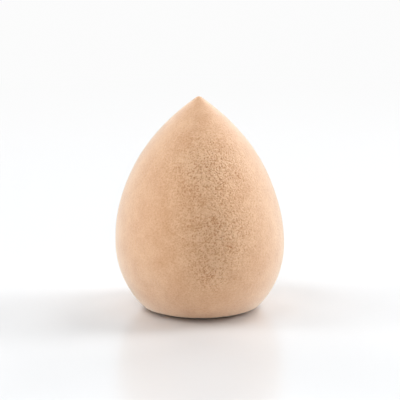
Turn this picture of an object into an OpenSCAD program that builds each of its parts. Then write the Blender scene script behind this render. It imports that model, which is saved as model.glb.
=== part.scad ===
// Teardrop makeup sponge: a soft foam body, turned about the Z axis, that stands tip up on its foot.
// Its outline runs from the middle of the foot, round the foot's edge and up the flank to the tip.
// Two zones share that outline: the fine-celled skin, and the open-celled core that it encloses.
// The skin ends at the foot's edge, where the moulding is trimmed, so the core is bare underneath.

/* [Body] */
// Height from the table to the tip
sponge_h = 56.2; // [50:0.1:64]
// Diameter at the widest level
sponge_d = 44; // [38:0.5:50]
// Height of the widest level above the table
belly_h = 17.4; // [13:0.1:21]
// How far above the widest level the wall heads upright, before it leans in
shoulder_h = 14; // [8:0.5:18]

/* [Tip] */
// Radius of the rounded tip
tip_r = 1; // [0.9:0.1:3]
// Angle between the axis and the slope just below the tip
tip_angle = 53.5; // [42:0.5:60]
// How far below the tip the slope keeps its heading, before it turns down to the shoulder
slope_l = 17.8; // [10:0.1:21]

/* [Foot] */
// Diameter across the foot's edge
foot_d = 30.4; // [25:0.2:35]
// Diameter of the flat that meets the table
foot_flat_d = 19; // [16:0.5:23]
// How far the foot's edge stands clear of the table
foot_rise = 1.1; // [0.3:0.1:1.5]
// How far the foot's edge is rounded, measured along the foot and up the flank
foot_round = 0.7; // [0.4:0.1:1.8]

/* [Skin] */
// Thickness of the fine-celled skin
skin_t = 0.5; // [0.3:0.05:0.8]

/* [Hidden] */
$fn = 96;

// Steps along each stretch of the outline
rise_steps = 6;
edge_steps = 8;
flank_steps = 20;
side_steps = 40;
tip_steps = 10;

belly_r = sponge_d/2;
foot_r = foot_d/2;
flat_r = foot_flat_d/2;
rise_w = foot_r - flat_r;

// The lower flank is one round arc, upright at the widest level, that runs down to the foot's edge
flank_in = belly_r - foot_r;
flank_drop = belly_h - foot_rise;
flank_r = (flank_in*flank_in + flank_drop*flank_drop)/(2*flank_in);
flank_angle = asin(flank_drop/flank_r) - foot_round/flank_r*180/PI;

function rise_at(r) = [r, foot_rise*pow((r - flat_r)/rise_w, 2)];
function flank_at(a) = [belly_r - flank_r*(1 - cos(a)), belly_h - flank_r*sin(a)];
function tip_at(a) = [tip_r*cos(a), sponge_h - tip_r + tip_r*sin(a)];

// Where the line from p along u crosses the line from q along v
function crossing(p, u, q, v) = p + u*cross(q - p, v)/cross(u, v);

// Curves that head from a towards b, and reach the last point from the one before it
function bend(a, b, c, t) = (1 - t)*(1 - t)*a + 2*t*(1 - t)*b + t*t*c;
function sweep(a, b, c, d, t) = (1 - t)*bend(a, b, c, t) + t*bend(b, c, d, t);

// The edge of the foot: both headings meet at its corner, which the bend rounds off
edge_low = rise_at(foot_r - foot_round);
edge_high = flank_at(flank_angle);
edge_low_way = [rise_w, 2*foot_rise*(edge_low.x - flat_r)/rise_w];
edge_high_way = [sin(flank_angle), cos(flank_angle)];
edge_corner = crossing(edge_low, edge_low_way, edge_high, edge_high_way);
function edge_at(t) = bend(edge_low, edge_corner, edge_high, t);

// The side above the belly: upright at the shoulder, and on the tip's heading below the tip
belly = [belly_r, belly_h];
shoulder = [belly_r, belly_h + shoulder_h];
tip_low = tip_at(tip_angle);
slope_low = tip_low + slope_l*[sin(tip_angle), -cos(tip_angle)];
function side_at(t) = sweep(belly, shoulder, slope_low, tip_low, t);

// The trimmed foot, from the axis to the middle of its rounded edge
foot_points = concat(
    [[0, 0]],
    [for (i = [0:rise_steps]) rise_at(flat_r + (edge_low.x - flat_r)*i/rise_steps)],
    [for (i = [1:edge_steps/2 - 1]) edge_at(i/edge_steps)]
);

// The moulded side, from the middle of the rounded edge to the tip
side_points = concat(
    [for (i = [edge_steps/2:edge_steps]) edge_at(i/edge_steps)],
    [for (i = [1:flank_steps]) flank_at(flank_angle*(1 - i/flank_steps))],
    [for (i = [1:side_steps]) side_at(i/side_steps)],
    [for (i = [1:tip_steps]) tip_at(tip_angle + (90 - tip_angle)*i/tip_steps)]
);
last = len(side_points) - 1;

// The way up the side at point i. Past the tip the outline is mirrored, so the way is level there
function next_point(i) = i < last ? side_points[i + 1] : [-side_points[i - 1].x, side_points[i - 1].y];
function way_up(i) = next_point(i) - side_points[max(i - 1, 0)];
function outward(i) = [way_up(i).y, -way_up(i).x]/norm(way_up(i));

// The side again, one skin thickness further in, where the skin ends and the core begins
inner_points = [for (i = [0:last]) side_points[i] - skin_t*outward(i)];

// A closed outline, turned about the axis
module turned(points) {
    rotate_extrude() polygon(points);
}

// The fine-celled skin: the moulded side all round, open only at the foot
module foam_skin() {
    color([0.85, 0.69, 0.56])
        turned(concat(side_points, [for (i = [last:-1:0]) inner_points[i]]));
}

// The open-celled core: it fills the skin, and its trimmed face is the foot
module foam_core() {
    color([0.88, 0.73, 0.6])
        turned(concat(foot_points, [side_points[0]], inner_points));
}

foam_skin();
foam_core();
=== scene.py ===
# %% [markdown]
# # A teardrop makeup sponge
#
# The real thing is one soft body of peach beige foam, about as tall as a thumb. It stands on a small
# flat foot, swells to a round belly and closes in a blunt point. Foam that cures against a mould has a
# fine-celled skin, and a coarser core that shows only where the foot was trimmed.
#
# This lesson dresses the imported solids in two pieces, the skin and the core. Both are smooth bodies of
# revolution with cells pressed into them, so nearly all of the work is in one outline, one relief and
# one foam finish. The frame comes first, because it says how large everything is.

# %% Load the frame
import math

import bpy
import numpy as np
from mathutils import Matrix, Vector


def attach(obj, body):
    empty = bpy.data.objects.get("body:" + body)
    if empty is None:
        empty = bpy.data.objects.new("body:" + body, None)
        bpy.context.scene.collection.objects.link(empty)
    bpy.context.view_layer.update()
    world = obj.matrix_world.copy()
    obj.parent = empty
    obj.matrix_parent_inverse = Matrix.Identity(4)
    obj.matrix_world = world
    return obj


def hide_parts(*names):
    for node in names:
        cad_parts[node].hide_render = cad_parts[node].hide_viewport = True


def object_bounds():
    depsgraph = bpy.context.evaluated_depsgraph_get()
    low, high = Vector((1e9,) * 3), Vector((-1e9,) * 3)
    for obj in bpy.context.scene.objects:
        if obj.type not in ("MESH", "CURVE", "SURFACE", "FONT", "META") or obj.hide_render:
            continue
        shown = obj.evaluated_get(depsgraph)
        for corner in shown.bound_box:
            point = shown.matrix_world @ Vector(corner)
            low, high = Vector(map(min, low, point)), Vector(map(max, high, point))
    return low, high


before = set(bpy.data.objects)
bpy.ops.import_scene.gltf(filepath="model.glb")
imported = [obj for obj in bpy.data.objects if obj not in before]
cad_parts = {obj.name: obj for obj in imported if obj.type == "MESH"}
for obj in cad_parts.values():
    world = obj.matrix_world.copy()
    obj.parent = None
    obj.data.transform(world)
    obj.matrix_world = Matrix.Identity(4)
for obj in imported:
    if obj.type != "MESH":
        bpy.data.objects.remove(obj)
cad_box = [list(corner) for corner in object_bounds()]

# %% [markdown]
# ## Sizes
#
# A foam sponge is cast, so its maker thinks of it as an outline turned about an axis. The height and
# the diameter are read from the frame. The other sizes say how the outline runs between them, and are
# the ones that the solids were made to, here in metres.

# %% Sizes of the sponge
MM = 0.001
low, high = (Vector(corner) for corner in cad_box)
sponge_h = high.z - low.z
belly_r = (high.x - low.x) / 2
belly_h = 17.4 * MM
shoulder_h = 14 * MM
tip_r = 1 * MM
tip_angle = math.radians(53.5)
slope_l = 17.8 * MM
foot_r = 15.2 * MM
flat_r = 9.5 * MM
foot_rise = 1.1 * MM
foot_round = 0.7 * MM
skin_t = 0.5 * MM
middle = Vector((0, 0, sponge_h / 2))
print(f"sponge {sponge_h / MM:.1f} mm tall, {2 * belly_r / MM:.1f} mm across")

# %% [markdown]
# ## Camera
#
# The photograph looks a little down on the sponge through a long lens. The angle came from how round
# the foot's edge looks, and the distance from how the outline narrows towards the tip. Two more things
# tie picture to object: where in the picture the sponge's middle lies, and how many pixels a millimetre
# takes up there.

# %% Camera at the photograph's viewing angle
picture_px = 400
px_per_m = 3.825 / MM
view_down = math.radians(13)
view_distance = 0.6
middle_px = (200.96, 202.51)

look = Vector((0, math.cos(view_down), -math.sin(view_down)))
right = Vector((1, 0, 0))
up = right.cross(look)
offset = right * (picture_px / 2 - middle_px[0]) - up * (picture_px / 2 - middle_px[1])
aim = middle + offset / px_per_m

lens = bpy.data.cameras.new("camera")
lens.lens = lens.sensor_width * view_distance * px_per_m / picture_px
camera = bpy.data.objects.new("camera", lens)
camera.location = aim - look * view_distance
camera.rotation_euler = look.to_track_quat("-Z", "Y").to_euler()
bpy.context.collection.objects.link(camera)
bpy.context.scene.camera = camera
print(f"camera {view_distance} m away, {lens.lens:.0f} mm lens")

# %% [markdown]
# ## Outline
#
# One outline makes both pieces. The foot is flat, then rises a little towards its rounded edge. From
# there one round arc runs up to the belly, a long curve leans in to the shoulder and the slope, and a
# small arc rounds the tip. Each stretch is a formula, sampled finely and joined, and the whole line is
# then read back by distance along it, so that any number of evenly spaced rows can be asked for.

# %% Outline of the sponge
def bend(a, b, c, t):
    """A curve that heads from a towards b and reaches c from b: the quadratic Bezier of the three."""
    return (1 - t) ** 2 * a + 2 * t * (1 - t) * b + t**2 * c


def sweep(a, b, c, d, t):
    """A curve from a to d, steered by b and c: two bends blended, which is the cubic Bezier."""
    return (1 - t) * bend(a, b, c, t) + t * bend(b, c, d, t)


def crossing(p, u, q, v):
    """Where the line from p along u crosses the line from q along v, by the ratio of cross products."""
    return p + u * ((q - p)[0] * v[1] - (q - p)[1] * v[0]) / (u[0] * v[1] - u[1] * v[0])


def across(r, z):
    """Points of the outline, as rows of radius and height."""
    return np.stack(np.broadcast_arrays(r, z), -1).astype(float)


stretch_points = 400

t = np.linspace(0, 1, stretch_points)[:, None]
flank_in = belly_r - foot_r
flank_drop = belly_h - foot_rise
flank_r = (flank_in**2 + flank_drop**2) / (2 * flank_in)
flank_turn = math.asin(flank_drop / flank_r) - foot_round / flank_r
rise_w = foot_r - flat_r


def rise_at(r):
    """The trimmed foot outside its flat: a parabola that lifts to foot_rise at the edge."""
    return across(r, foot_rise * ((r - flat_r) / rise_w) ** 2)


def flank_at(turn):
    """The lower flank: a circle of radius flank_r, upright at the belly, turned down by an angle."""
    return across(belly_r - flank_r * (1 - np.cos(turn)), belly_h - flank_r * np.sin(turn))


edge_low = rise_at(foot_r - foot_round)
edge_high = flank_at(flank_turn)
edge_corner = crossing(
    edge_low, across(rise_w, 2 * foot_rise * (edge_low[0] - flat_r) / rise_w),
    edge_high, across(math.sin(flank_turn), math.cos(flank_turn)),
)
tip_low = across(tip_r * math.cos(tip_angle), sponge_h - tip_r + tip_r * math.sin(tip_angle))
slope_low = tip_low + slope_l * across(math.sin(tip_angle), -math.cos(tip_angle))
tip_turn = tip_angle + (math.pi / 2 - tip_angle) * t[:, 0]

foot_line = np.concatenate([
    across(flat_r * t[:, 0], 0),
    rise_at(flat_r + (edge_low[0] - flat_r) * t[:, 0]),
    bend(edge_low, edge_corner, edge_high, t / 2),
])
side_line = np.concatenate([
    bend(edge_low, edge_corner, edge_high, 0.5 + t / 2),
    flank_at(flank_turn * (1 - t[:, 0])),
    sweep(across(belly_r, belly_h), across(belly_r, belly_h + shoulder_h), slope_low, tip_low, t),
    across(tip_r * np.cos(tip_turn), sponge_h - tip_r + tip_r * np.sin(tip_turn)),
])


def run(line):
    """Distance along a line of points: the running sum of its steps."""
    return np.concatenate([[0], np.cumsum(np.hypot(*np.diff(line, axis=0).T))])


def read(line, places):
    """The points of a line at these distances along it."""
    far = run(line)
    return np.stack([np.interp(places, far, line[:, axis]) for axis in (0, 1)], -1)


def even(line, step):
    """The line again, as evenly spaced points about one step apart, ends included."""
    length = run(line)[-1]
    return read(line, np.linspace(0, length, round(length / step) + 1))


def sideways(line):
    """Unit vectors square to a line, to the right of its run: its heading turned by a quarter turn."""
    heading = np.gradient(line, axis=0)
    heading /= np.linalg.norm(heading, axis=1, keepdims=True)
    return np.stack([heading[:, 1], -heading[:, 0]], -1)


print(f"foot {run(foot_line)[-1] / MM:.1f} mm and side {run(side_line)[-1] / MM:.1f} mm along the outline")

# %% [markdown]
# ## Cells and unevenness
#
# Foam is bubbles, so its surface is what is left where bubbles were cut or burst: many small bowls side
# by side, and here and there a larger one. Image textures or a sculpting brush could press them in. A
# lattice is tidier: each cube of it holds one bubble, moved and sized by fair random numbers that are
# worked out from the cube's own indices, so every run gives the same sponge, and the bowls carry on
# across the seam of the grid because they depend on place alone. The same numbers, blended softly from
# corner to corner of a larger lattice, give the slow unevenness of a hand-sized foam moulding.

# %% Random numbers that belong to a place
MIX_STEP = np.uint64(0x9E3779B97F4A7C15)
MIX_FACTORS = (np.uint64(0xBF58476D1CE4E5B9), np.uint64(0x94D049BB133111EB))
MIX_SHIFTS = (np.uint64(30), np.uint64(27), np.uint64(31))
CUBE_FACTORS = np.array([73856093, 19349663, 83492791])


def scattered(cubes, seed, count):
    """Random numbers from 0 to 1 for whole-numbered cubes: their indices are summed with large factors,
    and each further number adds a step and mixes the bits by shifts and products."""
    state = (cubes @ CUBE_FACTORS + seed * int(CUBE_FACTORS[0])).astype(np.uint64)
    numbers = []
    for _ in range(count):
        state = state + MIX_STEP
        mixed = (state ^ (state >> MIX_SHIFTS[0])) * MIX_FACTORS[0]
        mixed = (mixed ^ (mixed >> MIX_SHIFTS[1])) * MIX_FACTORS[1]
        numbers.append((mixed ^ (mixed >> MIX_SHIFTS[2])) / 2.0**64)
    return numbers


def bowls(points, spacing, radii, share, seed):
    """How deep bubbles cut in: radius times (1 - (distance / radius)^2) under the deepest of the bubbles
    near each point, with one bubble in this share of the lattice's cubes, and 0 outside them all."""
    cube = np.floor(points / spacing).astype(np.int64)
    deepest = np.zeros(len(points))
    for step in np.ndindex(3, 3, 3):
        near = cube + np.array(step) - 1
        x, y, z, size, chance = scattered(near, seed, 5)
        centre = (near + np.stack([x, y, z], -1)) * spacing
        radius = radii[0] + (radii[1] - radii[0]) * size
        depth = radius - ((points - centre) ** 2).sum(-1) / radius
        deepest = np.maximum(deepest, depth * (chance < share))
    return deepest


def swells(points, size, seed):
    """A soft field from -1 to 1: random numbers at the corners of a lattice, blended along each axis by
    the smooth step 3t^2 - 2t^3 (value noise)."""
    cube = np.floor(points / size).astype(np.int64)
    part = points / size - cube
    part = part * part * (3 - 2 * part)
    total = np.zeros(len(points))
    for corner in np.ndindex(2, 2, 2):
        weight = np.where(corner, part, 1 - part).prod(-1)
        total += weight * (2 * scattered(cube + np.array(corner), seed, 1)[0] - 1)
    return total


print("random numbers of one cube:", [round(float(n[0]), 3) for n in scattered(np.ones((1, 3), int), 1, 3)])

# %% [markdown]
# ## Relief
#
# The surface is uneven in four ways, as on a real sponge: fine cells that touch, larger open pores set
# wide apart, soft swells, and the few dents that handling left. Each is a depth, measured inwards from
# the outline. The cells are open and deep in a band down the front and in a few wide places round the
# sides and back, and nearly closed in between, where the skin is as smooth as the mould left it. Open
# cells also colour the foam darker and redder, so the band down the front is partly open cells and
# partly painted shade, where the side lamps leave the front dim. All of the relief fades out at the
# foot's edge, where the moulding was trimmed clean, so that the skin and the core meet on one smooth
# ring. The whole moulding also leans a little to one side.

# %% Relief, as depths under the smooth outline
fine_cells = dict(spacing=0.36 * MM, radii=(0.14 * MM, 0.27 * MM), share=1, seed=11)
open_pores = dict(spacing=1.7 * MM, radii=(0.2 * MM, 0.34 * MM), share=0.1, seed=12)
fine_depth = 0.85
pore_depth = 1.1
deepest_cell = 0.35 * MM
swell_sizes = (15 * MM, 6 * MM)
swell_depths = (0.1 * MM, 0.05 * MM)
swell_seeds = (21, 22)
edge_fade = 0.5 * MM
lean = -0.54 * MM
bow = -0.18 * MM

# The middle of each dent, how far it reaches, and its depth
dents = (
    ((4.4 * MM, -1 * MM, 52 * MM), 1.6 * MM, 0.22 * MM),
    ((-12.4 * MM, -16.3 * MM, 9.3 * MM), 3.5 * MM, 0.3 * MM),
)

# The middle of each place where the cells are open, and how far it reaches; open cells are painted darker,
# which on the front is painted shade
open_and_shaded_places = (
    ((3 * MM, -16 * MM, 41 * MM), 9 * MM),
    ((5 * MM, -22 * MM, 25 * MM), 8.5 * MM),
    ((3 * MM, -21 * MM, 15 * MM), 4 * MM),
    ((-4 * MM, 18 * MM, 33 * MM), 10 * MM),
    ((-9 * MM, 20 * MM, 16 * MM), 9 * MM),
    ((19 * MM, 10 * MM, 24 * MM), 12 * MM),
    ((-18 * MM, 12 * MM, 26 * MM), 11 * MM),
)
least_open = 0.2

# The foot was cut, so one wide place about its middle opens all of it
cut_places = (((0, 0, 0), 40 * MM),)


def openness(points, places):
    """How open the cells are, from least_open to 1. How closed they are is a product, over all the
    places, of 1 - exp(-(distance / reach)^2)."""
    closed = np.ones(len(points))
    for centre, reach in places:
        closed *= 1 - np.exp(-((points - centre) ** 2).sum(-1) / reach**2)
    return 1 - (1 - least_open) * closed


def unevenness(points):
    """Soft depth: swells of two sizes, and each dent as its depth times exp(-(distance / reach)^2)."""
    depth = np.zeros(len(points))
    for size, amount, seed in zip(swell_sizes, swell_depths, swell_seeds):
        depth += amount * swells(points, size, seed)
    for centre, reach, amount in dents:
        depth += amount * np.exp(-((points - centre) ** 2).sum(-1) / reach**2)
    return depth


def cell_depths(points, fine, pores):
    """Sharp depth: that of the fine bowls or of the open pores, whichever is more, up to a limit."""
    depth = np.maximum(fine_depth * bowls(points, **fine), pore_depth * bowls(points, **pores))
    return np.minimum(depth, deepest_cell)


def leaned(points):
    """Points shifted along x with their height, by a straight lean and half a wave of bow."""
    rise = points[..., 2] / sponge_h
    shift = lean * rise + bow * np.sin(np.pi * rise)
    return points + shift[..., None] * np.array([1, 0, 0])


print(f"tip leans by {-lean / MM:.2f} mm, cells are at most {deepest_cell / MM:.2f} mm deep")

# %% [markdown]
# ## From an outline to a closed piece
#
# Both pieces are an outline turned about the axis, which Blender's own Spin tool could do. Here the
# outline's rows and the turn's columns form a grid that numpy fills at once, because the relief needs
# hundreds of thousands of points. The first and the last row are each a single point on the axis, with
# a fan of triangles round it, and the last column meets the first, so the piece is closed. The map
# unrolls the grid, and gives most of its height to the rows that show.

# %% Grid to mesh
def poles_merged(grid):
    """A grid's values as one list, with only the first value of its first and last rows."""
    return np.concatenate([grid[:1, 0], grid[1:-1].reshape(-1, *grid.shape[2:]), grid[-1:, 0]])


def face_corners(grid, order):
    """One value per corner of each cell of a grid, taken in this order round the cell."""
    four = (grid[:-1, :-1], grid[:-1, 1:], grid[1:, 1:], grid[1:, :-1])
    return np.stack([four[i] for i in order], 2).reshape(-1, *grid.shape[2:])


def grid_mesh(name, points, kept):
    """A closed mesh from points[row, column]: quads between neighbours, wrapped round, and fans of
    triangles at both ends. Its map is the grid unrolled, and kept holds grids of values by name."""
    rows, columns = points.shape[:2]
    index = np.zeros((rows, columns + 1), np.int32)
    index[1:-1, :-1] = 1 + np.arange((rows - 2) * columns).reshape(rows - 2, columns)
    index[1:-1, -1] = index[1:-1, 0]
    index[-1] = 1 + (rows - 2) * columns
    up_map, round_map = np.meshgrid(np.linspace(0, 1, rows), np.linspace(0, 1, columns + 1), indexing="ij")
    round_map[0] += 0.5 / columns
    round_map[-1] -= 0.5 / columns
    places = np.stack([round_map, up_map], -1)

    # Rows and the order of a face's corners: a fan at the start, quads in between, a fan at the end
    bands = ((slice(0, 2), (0, 2, 3)), (slice(1, -1), (0, 1, 2, 3)), (slice(-2, None), (0, 1, 2)))
    corners = np.concatenate([face_corners(index[rows_of], order) for rows_of, order in bands])
    places = np.concatenate([face_corners(places[rows_of], order) for rows_of, order in bands])
    sizes = np.repeat([3, 4, 3], [columns, (rows - 3) * columns, columns])

    mesh = bpy.data.meshes.new(name)
    mesh.vertices.add(2 + (rows - 2) * columns)
    mesh.vertices.foreach_set("co", poles_merged(points).astype(np.float32).ravel())
    mesh.loops.add(len(corners))
    mesh.loops.foreach_set("vertex_index", corners)
    mesh.polygons.add(len(sizes))
    mesh.polygons.foreach_set("loop_start", (np.cumsum(sizes) - sizes).astype(np.int32))
    mesh.update(calc_edges=True)
    unrolled = mesh.uv_layers.new(name="OFBake")
    unrolled.uv.foreach_set("vector", places.astype(np.float32).ravel())
    for label, grid in kept.items():
        values = mesh.attributes.new(label, "FLOAT", "POINT")
        values.data.foreach_set("value", poles_merged(grid).astype(np.float32))
    mesh.shade_smooth()
    piece = bpy.data.objects.new(name, mesh)
    bpy.context.collection.objects.link(piece)
    return piece


def turned(line, out, columns):
    """points[row, column] and their outward directions, from an outline turned about the upright axis."""
    angle = np.linspace(0, 2 * np.pi, columns, endpoint=False)
    spoke = np.stack([np.cos(angle), np.sin(angle), 0 * angle], -1)
    rise = np.array([0, 0, 1])
    return tuple(flat[:, None, :1] * spoke + flat[:, None, 1:] * rise for flat in (line, out))


def foam_piece(name, line, out, columns, cell_share, swell_share, fine, pores, places):
    """A closed zone of foam: its turned outline, pushed in by the cells and by the unevenness, each times
    the share that a row takes of it (less than none where the row faces inwards), and then leaned. The
    cells are as deep as they are open."""
    points, ways = turned(line, out, columns)
    celled = cell_share > 0
    surface = points[celled].reshape(-1, 3)
    opened = np.ones(points.shape[:2])
    opened[celled] = openness(surface, places).reshape(-1, columns)
    depth = np.zeros(points.shape[:2])
    depth[celled] = cell_depths(surface, fine, pores).reshape(-1, columns)
    depth *= opened * cell_share[:, None]
    uneven = unevenness(points.reshape(-1, 3)).reshape(depth.shape) * swell_share[:, None]
    points = leaned(points - (depth + uneven)[..., None] * ways)
    return grid_mesh(name, points, {"cell_depth": depth, "openness": opened})


# %% [markdown]
# ## The skin
#
# The skin is the surface that the hand and the light meet. Its outline starts inside at the tip, runs
# down the inner wall, turns at the foot's edge and comes up the outside. Only the outside rows are
# close together and carry the cells, at a spacing well under the width of one. They stand a little
# proud of the solids, whose outline came out that much narrower on each side than the photograph's.

# %% Make the skin
skin_columns = 880
skin_step = 0.15 * MM
wall_step = 1.5 * MM
proud = 0.17 * MM


def side_rows(step):
    """Rows of the side about one step apart, their outward directions, and the share of the relief that
    each takes: its distance from the foot's edge as a part of edge_fade, and 1 at most."""
    rows = even(side_line, step)
    ways = sideways(rows)
    # The last row is the tip, which faces straight up
    ways[-1] = (0, 1)
    return rows, ways, np.clip(run(rows) / edge_fade, 0, 1)


outer, outer_way, outer_fade = side_rows(skin_step)
wall, wall_way, wall_fade = side_rows(wall_step)
outer += proud * outer_fade[:, None] * outer_way

skin = foam_piece(
    "sponge_skin",
    np.concatenate([(wall - skin_t * wall_way)[::-1], outer]),
    np.concatenate([-wall_way[::-1], outer_way]),
    skin_columns,
    np.concatenate([0 * wall_fade, outer_fade]),
    np.concatenate([-wall_fade[::-1], outer_fade]),
    fine_cells, open_pores, open_and_shaded_places,
)
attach(skin, "root")
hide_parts("foam_skin")
print(f"{skin.name}: {len(skin.data.vertices)} points in {len(outer)} outside rows")

# %% [markdown]
# ## The core
#
# The core fills the skin, so nearly all of it is out of sight, and it shows only under the sponge,
# where its cells were cut through and look larger and deeper than the skin's. Its outline is the foot,
# then the inner wall of the skin. A gap much thinner than a hair is left between the two pieces, so
# that their faces never fight for the same place.

# %% Make the core
core_columns = 440
foot_step = 0.2 * MM
hair = 0.02 * MM
cut_cells = dict(spacing=0.6 * MM, radii=(0.25 * MM, 0.45 * MM), share=1, seed=31)
cut_pores = dict(spacing=1.6 * MM, radii=(0.35 * MM, 0.6 * MM), share=0.35, seed=32)

foot = even(foot_line, foot_step)
foot_way = sideways(foot)
foot_fade = np.clip((run(foot)[-1] - run(foot)) / edge_fade, 0, 1)
core_wall = wall - (skin_t + hair) * wall_way

# The ring where foot and wall meet draws back from the skin by a hair too
back_step = hair * np.array([-foot_way[-1, 1], foot_way[-1, 0]])
foot[-1] -= back_step
core_wall[0] -= back_step

core = foam_piece(
    "sponge_core",
    np.concatenate([foot, core_wall]),
    np.concatenate([foot_way, wall_way]),
    core_columns,
    np.concatenate([foot_fade, 0 * wall_fade]),
    np.concatenate([0 * foot_fade, wall_fade]),
    cut_cells, cut_pores, cut_places,
)
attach(core, "root")
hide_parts("foam_core")
print(f"{core.name}: {len(core.data.vertices)} points in {len(foot)} foot rows")

# %% [markdown]
# ## Materials as arithmetic
#
# Blender's materials are nodes joined by wires, which is slow to read and to write. A small class that
# stands for one output of a node lets plain arithmetic add the Math nodes, and one method adds any
# other node. The rest of the file then says what a material is, and not how it is wired.

# %% A node's output as a value
class Value:
    """One output of a node in a material. Sums, differences and products with other values or with plain
    numbers are Math nodes."""

    def __init__(self, tree, output):
        self.tree = tree
        self.output = output

    @classmethod
    def node(cls, tree, kind, settings, sockets, output=0):
        """Adds a node of this kind: its settings first, then its sockets' numbers or links, each socket
        and the output by name or by place."""
        added = tree.nodes.new("ShaderNode" + kind)
        for name, setting in settings.items():
            setattr(added, name, setting)
        for place, content in sockets.items():
            if isinstance(content, Value):
                tree.links.new(content.output, added.inputs[place])
            else:
                added.inputs[place].default_value = content
        return cls(tree, added.outputs[output] if added.outputs else None)

    def worked(self, operation, first, second):
        """A Math node on two numbers or values."""
        return Value.node(self.tree, "Math", {"operation": operation}, {0: first, 1: second})

    def __add__(self, other):
        return self.worked("ADD", self, other)

    def __radd__(self, other):
        return self.worked("ADD", other, self)

    def __sub__(self, other):
        return self.worked("SUBTRACT", self, other)

    def __rsub__(self, other):
        return self.worked("SUBTRACT", other, self)

    def __mul__(self, other):
        return self.worked("MULTIPLY", self, other)

    def __rmul__(self, other):
        return self.worked("MULTIPLY", other, self)

    def ramped(self, low, high):
        """0 up to low, 1 from high on, and a smooth step between them."""
        settings = {"interpolation_type": "SMOOTHSTEP"}
        return Value.node(self.tree, "MapRange", settings, {0: self, 1: low, 2: high})

    def blend(self, first, second):
        """A colour between two: the first where this value is 0, and the second where it is 1."""
        sockets = {0: self, 6: first, 7: second}
        return Value.node(self.tree, "Mix", {"data_type": "RGBA"}, sockets, output=2)


def colour(red, green, blue):
    """A colour as a socket wants it."""
    return (red, green, blue, 1)


def emptied(owner):
    """The node tree of a material or world, with no nodes in it."""
    owner.use_nodes = True
    owner.node_tree.nodes.clear()
    return owner.node_tree


print("a value has", [name for name in ("ramped", "blend") if hasattr(Value, name)], "and plain arithmetic")

# %% [markdown]
# ## Foam
#
# Dry foam is matt all over: light goes in between the cell walls, is scattered and comes out without a
# highlight. What shows is colour. The faces of the cells are a pale peach beige. The hollows are painted
# deeper and redder, and this is painted shade: the dim light, bounced through much foam, that fills a
# hollow. The depth kept with each point tells them apart. Below that size a Voronoi texture stands for
# the finest cells: each has its own tone, its middle is painted darker than its rim as shade in a small
# hollow, and the same texture serves as a bump. Both follow how open the foam is, which is kept with each
# point too, so the open band down the front is painted a little darker and redder, as shade. A slow
# noise keeps the tone from being even, and what is darker is a little rougher. At a grazing angle the
# cell edges catch light like short fibres, which a warm sheen gives.

# %% Make the foam finishes
grain_size = 0.31 * MM
grain_height = 0.1 * MM
grain_share = 0.88
blotch_size = 4 * MM
blotch_share = 0.5
noise_mean = 0.5
closed_shade = 0.39
face_roughness = 0.5
added_roughness = 0.2


def foam(name, face, hollow_shade, full_depth):
    """Foam whose colour goes from its face colour to the painted shade of its hollows with its shade: the
    depth of the cells over full_depth, the mean shade of cells where they are closed, the grain and the
    blotches. Deeper cells are painted darker, as shade in the hollows."""
    material = bpy.data.materials.new(name)
    tree = emptied(material)
    place = Value.node(tree, "TexCoord", {}, {}, output="Object")
    depth = Value.node(tree, "Attribute", {"attribute_name": "cell_depth"}, {}, output="Fac")
    opened = Value.node(tree, "Attribute", {"attribute_name": "openness"}, {}, output="Fac")
    finest = {"Vector": place, "Scale": 1 / grain_size}
    grain = Value.node(tree, "TexVoronoi", {}, finest)
    chance = Value.node(tree, "TexVoronoi", {}, finest, output="Color")
    tone = Value.node(tree, "SeparateColor", {}, {0: chance})
    blotch = Value.node(tree, "TexNoise", {}, {"Vector": place, "Scale": 1 / blotch_size, "Detail": 1})
    # Each finest cell has its own tone, and its middle is painted darker than its rim as shade in a small
    # hollow, more where the cells are open
    cell_tone_and_shade = grain_share * opened * (tone - grain)
    blotches = blotch_share * (blotch - noise_mean)
    # A shade of 0 is the face colour and 1 the hollow colour, which is painted shade: deeper cells are
    # painted darker
    shade = depth * (1 / full_depth) + closed_shade * (1 - opened) + cell_tone_and_shade + blotches
    tint = shade.blend(face, hollow_shade)
    height = {"Height": opened * grain, "Distance": grain_height, "Strength": 1}
    bump = Value.node(tree, "Bump", {}, height)
    finish = Value.node(tree, "BsdfPrincipled", {}, {
        "Base Color": tint,
        "Normal": bump,
        "Roughness": face_roughness + added_roughness * shade,
        "Specular IOR Level": 0.3,
        "Sheen Weight": 1,
        "Sheen Roughness": 0.6,
        "Sheen Tint": colour(1, 0.95, 0.86),
    })
    Value.node(tree, "OutputMaterial", {}, {"Surface": finish})
    return material


# The face colour is the foam's own, and the hollow colour is painted shade for its hollows
face_colour = colour(0.865, 0.538, 0.308)
hollow_shade_colour = colour(0.52, 0.168, 0.028)
skin_finish = foam("fine_foam", face_colour, hollow_shade_colour, full_depth=0.25 * MM)
core_finish = foam("cut_foam", face_colour, hollow_shade_colour, full_depth=0.35 * MM)
skin.data.materials.append(skin_finish)
core.data.materials.append(core_finish)
print("finishes", skin_finish.name, core_finish.name)

# %% [markdown]
# ## Table
#
# The sponge stands on a white table in a bright studio. The table is a plane with a soft gloss, which
# takes the sponge's shadow and a faint reflection. Its white is a little cool, which makes up for the
# warm light that the sponge sheds on it. Further out it fades to plain white, but only for the rays that
# show it, so that the fade adds no light to the sponge.

# %% Table and backdrop
table_half = 2
table_white = colour(0.785, 0.8, 0.815)
backdrop_tone = 0.97
fade_near = 0.06
fade_far = 0.35


def seen_directly(tree):
    """1 for the rays that show a surface to the camera, straight or by way of a mirror or glass."""
    names = ("Is Camera Ray", "Is Glossy Ray", "Is Transmission Ray")
    rays = [Value.node(tree, "LightPath", {}, {}, output=name) for name in names]
    return rays[0] + rays[1] + rays[2]


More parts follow.
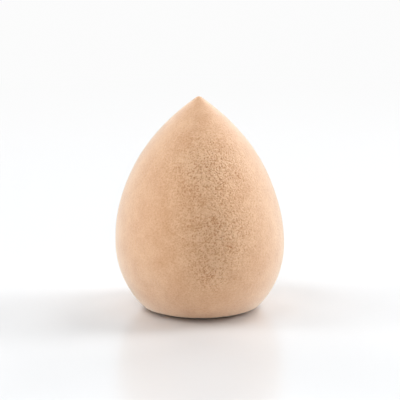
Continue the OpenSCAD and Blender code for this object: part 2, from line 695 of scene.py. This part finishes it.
table_mesh = bpy.data.meshes.new("table")
corner_signs = np.array([(-1, -1, 0), (1, -1, 0), (1, 1, 0), (-1, 1, 0)])
table_mesh.from_pydata((corner_signs * table_half).tolist(), [], [(0, 1, 2, 3)])
table = bpy.data.objects.new("table", table_mesh)
bpy.context.collection.objects.link(table)

table_finish = bpy.data.materials.new("table_white")
tree = emptied(table_finish)
place = Value.node(tree, "TexCoord", {}, {}, output="Object")
away = Value.node(tree, "VectorMath", {"operation": "LENGTH"}, {0: place}, output="Value")
lit = Value.node(tree, "BsdfPrincipled", {}, {
    "Base Color": table_white,
    "Roughness": 0.22,
    "Specular IOR Level": 0.4,
})
backdrop = colour(backdrop_tone, backdrop_tone, backdrop_tone)
plain = Value.node(tree, "Emission", {}, {"Color": backdrop, "Strength": 1})
share = away.ramped(fade_near, fade_far) * seen_directly(tree)
surface = Value.node(tree, "MixShader", {}, {0: share, 1: lit, 2: plain})
Value.node(tree, "OutputMaterial", {}, {"Surface": surface})
table_mesh.materials.append(table_finish)
print(f"table {2 * table_half} m wide, plain white from {fade_far} m out")

# %% [markdown]
# ## Light
#
# Broad lamps stand to the left, to the right and behind, with less light from the front, and the world
# fills in evenly. All the lamps are equally wide and equally far away, and face the sponge, so two
# angles and a power are all that tells one from another. Light that comes in low would reach under the
# foot's edge, so most of the front light comes from above. The world looks plain white, as the far end
# of the table does, but lights the sponge only faintly.

# %% World and lamps
ambient = 0.03

world = bpy.data.worlds.new("studio")
bpy.context.scene.world = world
tree = emptied(world)
fill = Value.node(tree, "Background", {}, {"Color": colour(1, 1, 1), "Strength": ambient})
behind = Value.node(tree, "Background", {}, {"Color": backdrop, "Strength": 1})
sky = Value.node(tree, "MixShader", {}, {0: seen_directly(tree), 1: fill, 2: behind})
Value.node(tree, "OutputWorld", {}, {"Surface": sky})

lamp_away = 1.1
lamp_width = 0.4
lamp_height = 0.3

# Each lamp's direction from the sponge, in degrees round from the front to the right and degrees up, and
# its power in watts
lamps = {
    "left_low": (-90, 4, 2.2),
    "left": (-90, 25, 2.8),
    "left_high": (-90, 55, 2.1),
    "front_high": (-45, 60, 2.0),
    "front": (0, 30, 1.6),
    "front_low": (0, 4, 0.7),
    "right_low": (90, 4, 1.8),
    "right": (100, 20, 3.0),
    "right_raised": (105, 35, 3.2),
    "right_high": (110, 60, 2.5),
    "back_left": (-150, 30, 2.3),
    "back_right": (150, 30, 2.9),
    "back": (180, 30, 0.5),
    "top": (0, 90, 1.0),
}
for name, (turn, rise, power) in lamps.items():
    light = bpy.data.lights.new("lamp_" + name, "AREA")
    light.shape = "RECTANGLE"
    light.size = lamp_width
    light.size_y = lamp_height
    light.energy = power
    turn, rise = math.radians(turn), math.radians(rise)
    way = Vector((math.sin(turn) * math.cos(rise), -math.cos(turn) * math.cos(rise), math.sin(rise)))
    lamp = bpy.data.objects.new("lamp_" + name, light)
    lamp.location = lamp_away * way
    lamp.rotation_euler = (middle - lamp.location).to_track_quat("-Z", "Y").to_euler()
    lamp.visible_camera = False
    bpy.context.collection.objects.link(lamp)
print("lamps", list(lamps))

# %% [markdown]
# ## Finish
#
# The picture is shown with plain colours, so the standard view is chosen.

# %% Finish
bpy.context.scene.view_settings.view_transform = "Standard"
